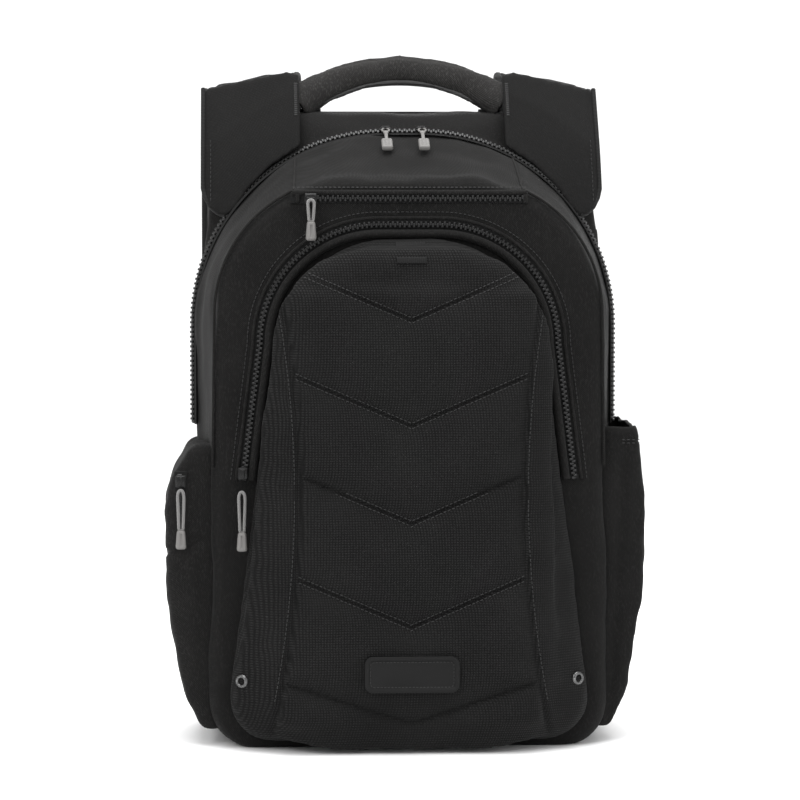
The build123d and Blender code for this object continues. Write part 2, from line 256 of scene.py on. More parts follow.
CLOTH = twill("charcoal_twill", 0.003, 0.013, 1.5, 0.75)
# The handle's twill is the body's weave painted about three times lighter: painted light where the lamps
# above fall on the handle's top.
HANDLE_CLOTH_LIT = twill("handle_twill_painted_light", 0.010, 0.034, 1.5, 0.75)
SIDE_CLOTH = twill("side_twill", 0.0025, 0.011, 1.35, 0.7)
WING_CLOTH = twill("strap_twill", 0.0025, 0.008, 1.4, 0.7, warm=0.02)
LINING = twill("lining_cloth", 0.008, 0.018, 1.2, 0.3)
WEAVE = oxford("quilt_weave", 0.002, 0.013, 2.1)
BINDING = ribbed("edge_binding", 0.007, 1.1, "z")
UNDERSIDE = ribbed("underside_webbing", 0.045, 1.1, "z")
WEBBING = ribbed("nylon_webbing", 0.008, 1.3, "z")
LABEL = ribbed("label_weave", 0.007, 1.5, "x")
TAPE = ribbed("zip_tape", 0.0045, 0.9, "z")
AIR_MESH = spacer_mesh("air_mesh")
TEETH = moulded("tooth_nylon", 0.006, 0.30, Specular_IOR_Level=0.35)
BUCKLE = moulded("buckle_nylon", 0.013, 0.4)
GRIP = moulded("grip_rubber", 0.125, 0.6, 0.035)
BADGE = moulded("badge_rubber", 0.003, 0.5, 0.0, 0.12, Specular_IOR_Level=0.16, Coat_Weight=0.02,
                Coat_Roughness=0.3)
SLIDER = enamel("slider_enamel", 0.012, 0.28, 0.75)
EYELET = enamel("eyelet_metal", 0.09, 0.26, 0.95)
CORD = braided("grey_cord", 0.19)
THREAD = moulded("black_thread", 0.006, 0.6)


# ---- modelling helpers ------------------------------------------------------------------------
def new_piece(name, mesh, material, smooth=True):
    """Puts a mesh in the scene as a piece with one material."""
    for polygon in mesh.polygons:
        polygon.use_smooth = smooth
    mesh.materials.clear()
    mesh.materials.append(material)
    piece = bpy.data.objects.new(name, mesh)
    bpy.context.scene.collection.objects.link(piece)
    return piece


def mesh_object(name, bm, material, smooth=True):
    """Turns a bmesh into a piece with one material."""
    bmesh.ops.recalc_face_normals(bm, faces=bm.faces)
    mesh = bpy.data.meshes.new(name)
    bm.to_mesh(mesh)
    bm.free()
    return new_piece(name, mesh, material, smooth)


def surface_of(piece):
    """A piece's surface, for casting rays at."""
    return BVHTree.FromObject(piece, bpy.context.evaluated_depsgraph_get())


def shift(bm, drawn, move):
    """Moves the points that an extrusion made."""
    bmesh.ops.translate(bm, verts=[g for g in drawn if isinstance(g, bmesh.types.BMVert)], vec=move)


def bake_modifiers(piece):
    """Replaces a piece's mesh by what its modifiers make of it."""
    graph = bpy.context.evaluated_depsgraph_get()
    mesh = bpy.data.meshes.new_from_object(piece.evaluated_get(graph))
    piece.modifiers.clear()
    old = piece.data
    piece.data = mesh
    bpy.data.meshes.remove(old)
    for polygon in mesh.polygons:
        polygon.use_smooth = True


def remesh(piece, size):
    modifier = piece.modifiers.new("Remesh", "REMESH")
    modifier.mode = "VOXEL"
    modifier.voxel_size = size * MM
    bake_modifiers(piece)


def relax(piece, rounds, factor=0.5):
    bm = bmesh.new()
    bm.from_mesh(piece.data)
    for _ in range(rounds):
        bmesh.ops.smooth_vert(bm, verts=bm.verts, factor=factor, use_axis_x=True, use_axis_y=True,
                              use_axis_z=True)
    bm.to_mesh(piece.data)
    bm.free()


def shape(piece, move):
    """Moves each point by move(point, normal), both in millimetres."""
    mesh = piece.data
    moved = []
    for vertex in mesh.vertices:
        point = vertex.co / MM
        moved.append((point + move(point, vertex.normal)) * MM)
    for vertex, place in zip(mesh.vertices, moved):
        vertex.co = place
    mesh.update()


def thicken(piece, thickness):
    modifier = piece.modifiers.new("Wall", "SOLIDIFY")
    modifier.thickness = thickness * MM
    modifier.offset = -1
    bake_modifiers(piece)


def open_where(piece, hidden):
    """Deletes the faces whose middle, in millimetres, and normal the test picks."""
    bm = bmesh.new()
    bm.from_mesh(piece.data)
    gone = [face for face in bm.faces if hidden(face.calc_center_median() / MM, face.normal)]
    bmesh.ops.delete(bm, geom=gone, context="FACES")
    bm.to_mesh(piece.data)
    bm.free()


def cut_copy(piece, name, point, normal):
    """A copy of a piece with what lies on the side that the normal points to."""
    bm = bmesh.new()
    bm.from_mesh(piece.data)
    bmesh.ops.bisect_plane(bm, geom=bm.verts[:] + bm.edges[:] + bm.faces[:], dist=0.00001,
                           plane_co=[c * MM for c in point], plane_no=normal, clear_inner=True)
    mesh = bpy.data.meshes.new(name)
    bm.to_mesh(mesh)
    bm.free()
    return new_piece(name, mesh, piece.data.materials[0])


def outline_loop(bm, y, half, base, top, corner, foot, narrowing, grow=0.0):
    """A closed arched outline as one face, rounded at its corners."""
    known = set(bm.faces)
    corners = [(-half - grow, base - grow), (half + grow, base - grow),
               (half - narrowing + grow, top + grow), (-half + narrowing - grow, top + grow)]
    verts = [bm.verts.new((x * MM, y * MM, z * MM)) for x, z in corners]
    bm.faces.new(verts)
    bmesh.ops.bevel(bm, geom=verts[2:], offset=(corner + grow) * MM, affect="VERTICES", segments=24,
                    profile=0.5, material=-1)
    low = [v for v in bm.verts if v in verts[:2]]
    bmesh.ops.bevel(bm, geom=low, offset=(foot + grow) * MM, affect="VERTICES", segments=8,
                    profile=0.5, material=-1)
    return [face for face in bm.faces if face not in known][0]


def lofted(name, sections, material):
    """A closed solid through a row of outlines, given as (y, outline, grow)."""
    bm = bmesh.new()
    loops = []
    for index, (y, outline, grow) in enumerate(sections):
        face = outline_loop(bm, y, grow=grow, **outline)
        edges = face.edges[:]
        if 0 < index < len(sections) - 1:
            bmesh.ops.delete(bm, geom=[face], context="FACES_ONLY")
        loops.append(edges)
    for rear, front in zip(loops, loops[1:]):
        bmesh.ops.bridge_loops(bm, edges=rear + front)
    return mesh_object(name, bm, material)


def arch_path(outline, y, grow, low, steps=26):
    """Points over the arch of an outline, from its left side at height low to its right side."""
    half, top, corner = outline["half"], outline["top"] + grow, outline["corner"] + grow
    lean = outline["narrowing"] / (outline["top"] - outline["base"])
    side = half + grow

    def edge(z):
        return side - lean * (z - outline["base"])

    centre_z = top - corner
    centre_x = edge(centre_z) - corner
    right = []
    for step in range(steps + 1):
        turn = math.pi / 2 * step / steps
        right.append((centre_x + corner * math.sin(turn), centre_z + corner * math.cos(turn)))
    count = max(2, round((centre_z - low) / 8))
    for step in range(1, count + 1):
        z = centre_z + (low - centre_z) * step / count
        right.append((edge(z), z))
    flat = [(centre_x * k / 4, top) for k in range(-3, 4)]
    left = [(-x, z) for x, z in reversed(right)]
    return [Vector((x, y, z)) for x, z in left + flat + right]


def walk(points, pitch):
    """Evenly spaced (place, direction) pairs along a line of points."""
    length = sum((b - a).length for a, b in zip(points, points[1:]))
    count = max(1, int(length / pitch))
    gap = length / count
    stations = []
    due = gap / 2
    for a, b in zip(points, points[1:]):
        run = (b - a).length
        while due <= run:
            stations.append((a + (b - a) * (due / run), (b - a).normalized()))
            due += gap
        due -= run
    return stations


def tube(name, points, radius, material):
    """A round cord of piping along a line of points."""
    curve = bpy.data.curves.new(name, "CURVE")
    curve.dimensions = "3D"
    curve.bevel_depth = radius * MM
    curve.bevel_resolution = 3
    curve.use_fill_caps = True
    spline = curve.splines.new("POLY")
    spline.points.add(len(points) - 1)
    for point, place in zip(spline.points, points):
        point.co = (*(place * MM), 1.0)
    holder = bpy.data.objects.new(name, curve)
    bpy.context.scene.collection.objects.link(holder)
    graph = bpy.context.evaluated_depsgraph_get()
    mesh = bpy.data.meshes.new_from_object(holder.evaluated_get(graph))
    bpy.data.objects.remove(holder)
    return new_piece(name, mesh, material)


def piping(name, points, radius, material, body):
    """Piping or a rolled edge that rides a body."""
    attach(tube(name, points, radius, material), body)


def ribbon(name, lines, material, thickness=0.8):
    """A flat strip between neighbouring lines of points, with a wall's thickness."""
    bm = bmesh.new()
    rows = [[bm.verts.new(p * MM) for p in line] for line in lines]
    for row in rows:
        for a, b in zip(row, row[1:]):
            bm.edges.new((a, b))
    for first, second in zip(rows, rows[1:]):
        for k in range(len(first) - 1):
            bm.faces.new((first[k], first[k + 1], second[k + 1], second[k]))
    piece = mesh_object(name, bm, material)
    thicken(piece, thickness)
    return piece


def box_mesh(bm, low, high, matrix=None, bevel=0.0, segments=2):
    """Adds a bevelled box between two corners, in millimetres, then turned by a matrix."""
    middle = [(a + b) / 2 * MM for a, b in zip(low, high)]
    size = [(b - a) * MM for a, b in zip(low, high)]
    place = Matrix.Translation(middle) @ Matrix.Diagonal((*size, 1))
    made = bmesh.ops.create_cube(bm, size=1, matrix=place)["verts"]
    faces = {f for v in made for f in v.link_faces}
    edges = {e for f in faces for e in f.edges}
    if bevel:
        result = bmesh.ops.bevel(bm, geom=list(edges), offset=bevel * MM, affect="EDGES",
                                 segments=segments, profile=0.5, material=-1)
        made = list({v for f in result["faces"] for v in f.verts} | {v for v in made if v.is_valid})
    if matrix:
        bmesh.ops.transform(bm, matrix=matrix, verts=made)
    return made


def trim_box(name, low, high, material, body, bevel, segments):
    """A small bevelled box of trim that rides a body."""
    bm = bmesh.new()
    box_mesh(bm, low, high, None, bevel, segments)
    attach(mesh_object(name, bm, material), body)


def frame_at(place, along, outward):
    """A matrix whose X runs along a line and whose Z points outward, at a place in millimetres."""
    x = along.normalized()
    z = (outward - outward.dot(x) * x).normalized()
    y = z.cross(x)
    turn = Matrix((x, y, z)).transposed().to_4x4()
    return Matrix.Translation(place * MM) @ turn


def stitches(name, points, outward, body, pitch=3.3, length=2.3, radius=0.34, skin=None):
    """A row of short thread stitches, laid on a skin where one is given."""
    bm = bmesh.new()
    for place, along in walk(points, pitch):
        out = outward
        if skin:
            hit, normal, _, _ = skin.ray_cast((place + outward * 40) * MM, -outward)
            if hit is None:
                continue
            place = hit / MM
            out = normal if normal.dot(outward) > 0 else -normal
        matrix = frame_at(place + out * radius * 0.5, along, out)
        box_mesh(bm, (-length / 2, -radius, -radius), (length / 2, radius, radius), matrix, radius * 0.7, 1)
    piece = mesh_object(name, bm, THREAD)
    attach(piece, body)


def zip_chain(name, node, body, points, pitch, stagger, tooth, lift=0.0, bevel=0.3, outward=None):
    """Moulded teeth from alternate sides of a zip, which stand for a chain in the frame."""
    bm = bmesh.new()
    for index, (place, along) in enumerate(walk(points, pitch)):
        sideways = stagger if index % 2 else -stagger
        out = outward(place) if outward else FRONT
        matrix = frame_at(place, along, out) @ Matrix.Translation((0, sideways * MM, lift * MM))
        box_mesh(bm, [-c for c in tooth], tooth, matrix, bevel, 1)
    chain = mesh_object(name, bm, TEETH, smooth=False)
    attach(chain, body)
    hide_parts(node)


# ---- camera -----------------------------------------------------------------------------------
def set_camera():
    data = bpy.data.cameras.new("camera")
    camera = bpy.data.objects.new("camera", data)
    bpy.context.scene.collection.objects.link(camera)
    data.lens = 140
    data.sensor_width = 36
    aim = Vector((-0.004, 0.0, 0.2575))
    distance = 2.37
    turn, lift = math.radians(-3.0), math.radians(4.0)
    way = Vector((math.sin(turn) * math.cos(lift), -math.cos(turn) * math.cos(lift), math.sin(lift)))
    camera.location = aim + way * distance
    camera.rotation_euler = (-way).to_track_quat("-Z", "Y").to_euler()
    bpy.context.scene.camera = camera


# ---- zip-pull cords and grips -----------------------------------------------------------------
def route_points(x, y, z, drop):
    """The route of a doubled cord that is looped over a bail at (x, y, z)."""
    return [
        (x - 1.5, y, z - drop),
        (x - 2.1, y, z - drop * 0.45),
        (x - 2.5, y, z),
        (x + 2.5, y, z),
        (x + 2.1, y, z - drop * 0.55),
        (x + 1.5, y, z - drop),
    ]


def corded_pull(name, body, x, y, z, drop):
    """A looped cord with both ends moulded into a rubber grip."""
    curve = bpy.data.curves.new(name + "_loop", "CURVE")
    curve.dimensions = "3D"
    curve.bevel_depth = 1.15 * MM
    curve.bevel_resolution = 4
    curve.resolution_u = 16
    curve.use_fill_caps = True
    spline = curve.splines.new("NURBS")
    route = route_points(x, y, z, drop)
    spline.points.add(len(route) - 1)
    for point, place in zip(spline.points, route):
        point.co = (*(Vector(place) * MM), 1.0)
    spline.order_u = 3
    spline.use_endpoint_u = True
    curve.materials.append(CORD)
    cord = bpy.data.objects.new(name + "_loop", curve)
    bpy.context.scene.collection.objects.link(cord)
    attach(cord, body)
    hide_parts(name + "_cord")

    bm = bmesh.new()
    top = z - drop - 0.15
    half = 4.0
    box_mesh(bm, (x - half, y - 2.3, top - 15), (x + half, y + 2.3, top), None, 2.2, 5)
    dent = [f for f in bm.faces if f.normal.y < -0.98 and f.calc_area() > 20 * MM * MM]
    for depth, inset in ((0.0, 1.0), (0.7, 0.5), (0.2, 0.6)):
        bmesh.ops.inset_region(bm, faces=dent, thickness=inset * MM, depth=-depth * MM)
    for vertex in bm.verts:
        share = min(max((top - vertex.co.z / MM) / 11, 0), 1)
        vertex.co.x = x * MM + (vertex.co.x - x * MM) * (0.66 + 0.34 * share * (2 - share))
    box_mesh(bm, (x - 2.4, y - 1.9, top - 1.0), (x + 2.4, y + 1.9, top + 0.1), None, 0.6, 2)
    grip = mesh_object(name + "_rubber", bm, GRIP)
    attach(grip, body)
    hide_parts(name + "_grip")


def make_cords():
    corded_pull("top_pull", "pull_top", -73, -64.05, 410, 15)
    corded_pull("front_pull", "pull_front", -124.64, -66.45, 194.2, 29.2)
    corded_pull("side_pull", "pull_side", -170, -53.05, 194.4, 29)


# ---- cloth surfaces ---------------------------------------------------------------------------
def ripple(point, scale, seed):
    """Smooth noise from about -1 to 1 over a distance in millimetres."""
    return noise.noise(Vector((point.x / scale + seed, point.y / scale - seed, point.z / scale + 2 * seed)))


def smooth(low, high, value):
    share = min(1.0, max(0.0, (value - low) / (high - low)))
    return share * share * (3 - 2 * share)


def fold_plane():
    """A point and the upward normal of the cut between what stays and what folds forward."""
    rise = math.atan2(ZIP_END - FOLD, ZIP_REAR - ZIP_WIDTH - QUILT)
    return (0, QUILT, FOLD), Vector((0, -math.sin(rise), math.cos(rise)))


def blend_over_fold(piece):
    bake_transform(piece)


def seam_side(z):
    """Half the width of the quilted panel at a height: it is a little waisted."""
    return 83 + 14 * ((z - 195) / 150) ** 2


CHEVRONS = (322, 244.5, 172.5, 95.5)      # height of each chevron's lowest point
CHEVRON_SLOPE = 0.43


def quilt_lift(x, z):
    """How far the quilting stands out between its seams, in millimetres."""
    edge = seam_side(z) - abs(x)
    gap = min(abs(z - (tip + abs(x) * CHEVRON_SLOPE)) for tip in CHEVRONS)
    hem = abs(z - (24 + abs(x) * 0.32 if z < 60 else 400))
    nearest = min(gap * 0.92, edge, hem)
    pillow = 4.6 * (1 - math.exp(-max(nearest, 0) / 7.5))
    return pillow - (1.6 if nearest < 1.3 else 0.0)


def make_pocket():
    """The front pocket: quilted centre, side panels and its domed edge."""
    skin = lofted("pocket_form", [
        (PANEL + 0.2, POCKET, 0.0), (PANEL - 7, POCKET, -1.0), (PANEL - 14, POCKET, -5.0),
        (QUILT + 9, CENTRE, 12.0), (QUILT + 4, CENTRE, 3.0), (QUILT + 3, CENTRE, -6.0)], WEAVE)
    remesh(skin, 2.2)
    relax(skin, 5)

    def move(p, n):
        front = smooth(-0.35, -0.9, n.y)
        x = abs(p.x)
        inside = smooth(0, 6, seam_side(p.z) - x) * smooth(14, 30, p.z) * smooth(352, 338, p.z)
        lift = quilt_lift(p.x, p.z) * front * inside
        seam = math.exp(-((seam_side(p.z) - x) / 2.2) ** 2) * smooth(352, 335, p.z)
        loose = (1 - inside) * (1.8 * ripple(p, 46, 3.1) + 0.9 * ripple(p, 17, 8.3))
        soft = 0.8 * ripple(p, 60, 5.2) + 0.35 * ripple(p, 14, 1.7)
        near = smooth(PANEL, PANEL - 8, p.y)
        return n * (lift - 2.2 * seam * front + (loose + soft) * near)

    shape(skin, move)
    open_where(skin, lambda c, n: c.y > PANEL - 0.6 and n.y > 0.6)
    point, normal = fold_plane()
    lower = cut_copy(skin, "quilted_pocket_lower", point, -normal)
    upper = cut_copy(skin, "quilted_pocket_upper", point, normal)
    surface = surface_of(skin)
    for piece in (lower, upper):
        thicken(piece, 2.0)
    blend_over_fold(lower)
    blend_over_fold(upper)
    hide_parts("lower_pocket_gusset", "quilt_lower")
    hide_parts("pocket_gusset", "quilt_upper")
    bpy.data.objects.remove(skin)
    return surface


def sew_quilt(surface):
    """Twin stitch rows beside each chevron and along the panel's side seams."""
    for index, tip in enumerate(CHEVRONS):
        body = "pack" if tip < FOLD else "pocket_flap"
        for offset in (-2.2, 2.2):
            line = []
            for k in range(-20, 21):
                x = (seam_side(tip + 35) - 2) * k / 20
                z = tip + abs(x) * CHEVRON_SLOPE + offset
                if body == "pack" and z > FOLD - 2:
                    continue
                line.append(Vector((x, -95, z)))
            stitches(f"chevron_stitch_{index}_{'low' if offset < 0 else 'high'}", line, FRONT, body,
                     skin=surface)
    for side, name in SIDES:
        for low, high, body in ((40, FOLD - 3, "pack"), (FOLD + 3, CENTRE["top"] - 20, "pocket_flap")):
            line = [Vector((side * (seam_side(z) + 3.2), -92, z)) for z in range(int(low), int(high), 6)]
            stitches(f"side_seam_stitch_{name}_{body}", line, FRONT, body, skin=surface)


def make_front_section():
    """The front section: its face, rounded edge and gusset back to the main zip."""
    skin = lofted("front_section_cloth", [
        (ZIP_FRONT - 0.3, MAIN, -1.0), (ZIP_FRONT - 4, MAIN, 0.0), (ZIP_FRONT - 12, MAIN, -3.5),
        (PANEL + 18, SECTION, 3.0), (PANEL + 6, SECTION, 1.5), (PANEL + 0.5, SECTION, -4.0),
        (PANEL, SECTION, -9.0)], SIDE_CLOTH)
    remesh(skin, 3.4)
    relax(skin, 3)

    def move(p, n):
        gusset = smooth(-0.9, -0.3, n.y)
        away = smooth(ZIP_FRONT, ZIP_FRONT - 12, p.y)
        low = smooth(70, 10, p.z)
        crease = 1.6 * ripple(Vector((p.x * 0.5, p.y, p.z * 0.25)), 16, 2.2)
        swell = 2.2 * ripple(p, 70, 6.4) + 0.8 * ripple(p, 22, 4.4)
        top = smooth(395, 440, p.z) * 1.6 * ripple(Vector((p.x * 1.8, p.y, p.z)), 34, 9.9)
        return n * ((crease * gusset + swell * gusset + top) * away * (1 - 0.6 * low)
                    + 0.5 * ripple(p, 30, 1.1))

    shape(skin, move)
    floor_level(skin)
    surface = surface_of(skin)
    open_where(skin, lambda c, n: n.y > 0.75 and c.y > ZIP_FRONT - 4)
    thicken(skin, 2.2)
    blend_over_fold(skin)
    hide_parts("front_section_gusset", "front_section_panel", "lower_gusset", "lower_panel")
    return surface


def floor_level(piece):
    """Presses what would sag below the floor flat onto it."""
    for vertex in piece.data.vertices:
        if vertex.co.z < 0.0004:
            vertex.co.z = 0.0004


def make_rear():
    """The gusset and yoke behind the main zip, up to the back panel."""
    skin = lofted("rear_gusset_cloth", [
        (BACK - 0.3, REAR, 0.0), (BACK - 8, REAR, 2.0), (BACK - 26, REAR, -1.0),
        (ZIP_REAR + 10, MAIN, -0.5), (ZIP_REAR + 3, MAIN, 1.0), (ZIP_REAR + 0.2, MAIN, -1.0)], SIDE_CLOTH)
    remesh(skin, 3.6)
    relax(skin, 3)

    def move(p, n):
        around = 1 - abs(n.y)
        soft = 1.8 * ripple(p, 55, 7.7) + 0.9 * ripple(Vector((p.x, p.y * 0.5, p.z)), 18, 5.5)
        return n * soft * around

    shape(skin, move)
    floor_level(skin)
    open_where(skin, lambda c, n: c.y > BACK - 1.5 or (c.y < ZIP_REAR + 1.6 and n.y < -0.5))
    thicken(skin, 2.2)
    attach(skin, "pack")
    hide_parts("rear_gusset", "rear_yoke")

    board = lofted("back_panel_cloth", [
        (BACK + 0.3, REAR, -0.6), (BACK + 2, REAR, 0.2), (BACK + 4, REAR, 0.2),
        (BACK + 5.6, REAR, -1.4)], CLOTH)
    remesh(board, 3.0)
    relax(board, 2)
    shape(board, lambda p, n: n * 0.7 * ripple(p, 40, 3.8))
    floor_level(board)
    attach(board, "pack")
    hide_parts("back_board")
    points = arch_path(REAR, BACK + 6.2, 0.6, 34)
    piping("back_edge_piping", points, 1.9, BINDING, "pack")


def make_main_zip():
    """Tapes, teeth and the folded lips of the arched main zip."""
    y = (ZIP_FRONT + ZIP_REAR) / 2
    centre_x, centre_z = MAIN["half"] - MAIN["corner"], MAIN["top"] - MAIN["corner"]

    def outward(place):
        out = place - Vector((0, y, centre_z))
        if place.z > centre_z:
            out.x -= math.copysign(min(centre_x, abs(out.x)), out.x)
        else:
            out.z = 0
        return out.normalized() + Vector((0, -0.75, 0))

    zip_chain("main_zip_teeth", "main_zip_chain", "pack", arch_path(MAIN, y, 1.2, ZIP_END + 3), 1.85, 0.8,
              (0.95, 1.7, 1.1), lift=0.7, bevel=0.35, outward=outward)
    for name, body, y0, y1 in (("front", "main_flap", ZIP_FRONT - 9, ZIP_FRONT - 0.2),
                               ("rear", "pack", ZIP_REAR + 9, ZIP_REAR + 0.2)):
        inner = arch_path(MAIN, y1, 0.3, ZIP_END + 3)
        outer = arch_path(MAIN, y0, -0.6 if body == "main_flap" else 1.2, ZIP_END + 3)
        tape = ribbon("main_zip_tape_" + name, [inner, outer], TAPE, 0.7)
        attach(tape, body)
        edge = y1 + (0.2 - 3.4 if body == "main_flap" else 3.4)
        lip_line = arch_path(MAIN, edge, -0.9 if body == "main_flap" else 1.0, ZIP_END + 2)
        piping("main_zip_lip_" + name, lip_line, 1.5, SIDE_CLOTH, body)


def make_front_zip():
    """The front pocket's arched zip on the face of the front section, and its rolled lip."""
    low = FOLD + 4
    zip_chain("front_zip_teeth", "front_pocket_zip", "main_flap",
              arch_path(POCKET, PANEL - 1.6, FLANGE + 3.2, low), 1.75, 0.7, (0.85, 1.5, 0.9))
    tape = ribbon("front_zip_tape", [arch_path(POCKET, PANEL - 0.7, 0.2, low),
                                     arch_path(POCKET, PANEL - 0.7, FLANGE + 8.5, low)], TAPE, 0.7)
    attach(tape, "main_flap")
    piping("front_zip_outer_lip", arch_path(POCKET, PANEL - 0.8, FLANGE + 8.2, low), 1.4, CLOTH,
           "main_flap")
    piping("front_zip_rolled_lip", arch_path(POCKET, PANEL - 2.2, 3.0, low), 3.2, CLOTH, "pocket_flap")
    row = arch_path(POCKET, PANEL - 0.3, FLANGE + 12.5, low)
    stitches("front_zip_stitch", row, FRONT, "main_flap")


def make_top_zip():
    """The level zip across the top of the front section, under its folded lip."""
    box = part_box("top_pocket_zip")
    x0, x1 = box[0][0] / MM, box[1][0] / MM
    z = (box[0][2] + box[1][2]) / 2 / MM
    points = [Vector((x0 + 8, PANEL - 1.7, z)), Vector((x1 - 1, PANEL - 1.7, z))]
    zip_chain("top_zip_teeth", "top_pocket_zip", "main_flap", points, 1.85, 0.8, (0.9, 1.6, 1.0))
    trim_box("top_zip_tape", (x0 - 2, PANEL - 0.9, z - 3.6), (x1 + 2, PANEL + 0.2, z + 4.5), TAPE,
             "main_flap", 0.4, 1)
    line = [Vector((x0 - 1 + (x1 - x0 + 2) * k / 30, PANEL - 0.7, z + 4.4)) for k in range(31)]
    piping("top_zip_lip", line, 2.1, CLOTH, "main_flap")
    row = [Vector((x0 - 1, PANEL - 0.3, z + 8.2)), Vector((x1 + 1, PANEL - 0.3, z + 8.2))]
    stitches("top_zip_stitch", row, FRONT, "main_flap")
    for name, x in (("left", x0 + 3), ("right", x1)):
        trim_box("top_zip_bartack_" + name, (x - 1.8, PANEL - 2.7, z - 3.4), (x + 1.8, PANEL - 0.6,
                 z + 3.6), CLOTH, "main_flap", 0.8, 2)


# ---- sliders and moulded pulls ----------------------------------------------------------------
def slider_mesh(name, node, body, outward, towards):
    """A zip slider: plate, upper plate and crown bridge, as three bevelled blocks."""
    low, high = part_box(node)
    middle = Vector([(a + b) / 2 for a, b in zip(low, high)]) / MM
    matrix = frame_at(middle, towards, outward)
    bm = bmesh.new()
    box_mesh(bm, (-4.6, -3.9, -1.9), (4.4, 3.9, -0.3), matrix, 0.7, 2)
    box_mesh(bm, (-4.2, -3.2, 0.1), (3.6, 3.2, 1.1), matrix, 0.5, 2)
    box_mesh(bm, (-3.4, -1.1, 0.8), (2.8, 1.1, 2.1), matrix, 0.5, 2)
    piece = mesh_object(name, bm, SLIDER)
    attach(piece, body)
    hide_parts(node)


def ring(bm, matrix, wide, long, thick):
    """A D-shaped wire ring in the XY plane of a matrix."""
    count = 20
    for k in range(count):
        a0 = 2 * math.pi * k / count
        a1 = 2 * math.pi * (k + 1) / count
        p0 = Vector((math.cos(a0) * long, math.sin(a0) * wide, 0))
        p1 = Vector((math.cos(a1) * long, math.sin(a1) * wide, 0))
        middle = (p0 + p1) / 2
        turn = Matrix.Rotation(math.atan2(p1.y - p0.y, p1.x - p0.x), 4, "Z")
        place = matrix @ Matrix.Translation(middle * MM) @ turn
        reach = (p1 - p0).length / 2 + thick * 0.25
        box_mesh(bm, (-reach, -thick, -thick), (reach, thick, thick), place, thick * 0.5, 1)


def make_sliders():
    for side, name in SIDES:
        slider_mesh("main_slider_plate_" + name, "main_slider_" + name, "slider_main_" + name,
                    Vector((0, 0, 1)), Vector((side, 0, 0)))
        low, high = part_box("main_pull_" + name)
        top = Vector(((low[0] + high[0]) / 2, 0.0224, 0.4637)) / MM
        slope = math.atan2(MAIN["top"] - SECTION["top"], PANEL_RUN)
        down = Vector((0, -math.cos(slope), -math.sin(slope)))
        out = Vector((0, -math.sin(slope), math.cos(slope)))
        place = frame_at(top, down, out)
        bm = bmesh.new()
        ring(bm, place @ Matrix.Translation((2.6 * MM, 0, 0)), 2.7, 3.4, 0.75)
        box_mesh(bm, (5.4, -1.3, -0.9), (22.5, 1.3, 0.9), place, 0.6, 2)
        box_mesh(bm, (5.0, -2.0, -1.1), (9.0, 2.0, 1.1), place, 0.7, 2)
        made = box_mesh(bm, (22.0, -4.2, -2.2), (37.8, 4.2, 2.2), place, 1.6, 4)
        faces = [f for f in bm.faces if f.normal.dot(out) > 0.98 and f.calc_area() > 15 * MM * MM
                 and all(v in made for v in f.verts)]
        for depth, inset in ((0.0, 0.9), (0.6, 0.5)):
            bmesh.ops.inset_region(bm, faces=faces, thickness=inset * MM, depth=-depth * MM)
        pull = mesh_object("main_pull_moulding_" + name, bm, GRIP)
        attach(pull, "pull_main_" + name)
        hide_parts("main_pull_" + name)
        bm = bmesh.new()
        ring(bm, frame_at(top + Vector((0, 3.4, 0.9)), FRONT, Vector((0, 0, 1))), 2.4, 3.4, 0.6)
        bail = mesh_object("main_bail_" + name, bm, SLIDER)
        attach(bail, "slider_main_" + name)
    for place, towards in (("top", (1, 0, 0)), ("front", (0, 0, 1)), ("side", (0, 0, -1))):
        slider_mesh(place + "_slider_plate", place + "_slider", "slider_" + place, FRONT, Vector(towards))


# ---- side pockets -----------------------------------------------------------------------------
def pocket_form(name, side, outline, rear, front, material):
    """A closed side-pocket form: an outline in X and Z, drawn out along Y and rounded."""
    bm = bmesh.new()
    verts = [bm.verts.new((side * x * MM, rear * MM, z * MM)) for x, z in outline]
    face = bm.faces.new(verts)
    drawn = bmesh.ops.extrude_face_region(bm, geom=[face])["geom"]
    shift(bm, drawn, (0, (front - rear) * MM, 0))
    return mesh_object(name, bm, material)


def make_left_pocket():
    low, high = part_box("left_pocket")
    y0, y1 = low[1] / MM, high[1] / MM
    top = high[2] / MM
    outline = [(140, 12), (155, 12), (168, 40), (178.5, 112), (180, 190), (176, 206), (163, top - 1),
               (140, top - 1)]
    skin = pocket_form("left_pocket_cloth", -1, outline, y1, y0, CLOTH)
    remesh(skin, 3.2)
    relax(skin, 9)

    def move(p, n):
        off = smooth(150, 162, abs(p.x))
        fold = 2.0 * ripple(Vector((p.x, p.y * 1.4, p.z * 0.5)), 30, 12.1) + 0.9 * ripple(p, 12, 2.9)
        seam = -2.4 * math.exp(-((p.z - 150 - (p.x + 170) * 0.4) / 2.4) ** 2)
        swell = 2.0 * smooth(0, 40, min(p.z - 20, 215 - p.z))
        return n * (fold + seam + swell) * off

    shape(skin, move)
    open_where(skin, lambda c, n: n.x > 0.8 and c.x > -150)
    thicken(skin, 2.0)
    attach(skin, "pack")
    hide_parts("left_pocket")
    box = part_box("side_pocket_zip")
    x = (box[0][0] + box[1][0]) / 2 / MM
    y = box[1][1] / MM
    line = [Vector((x, y - 2.2, z)) for z in range(int(box[0][2] / MM), int(box[1][2] / MM) + 1, 2)]
    zip_chain("side_zip_teeth", "side_pocket_zip", "pack", line, 2.1, 0.9, (1.05, 1.8, 1.0), bevel=0.35)
    trim_box("side_zip_tape", (x - 5, y - 1.6, line[0].z - 2), (x + 5, y + 0.4, line[-1].z + 2), TAPE,
             "pack", 0.5, 2)


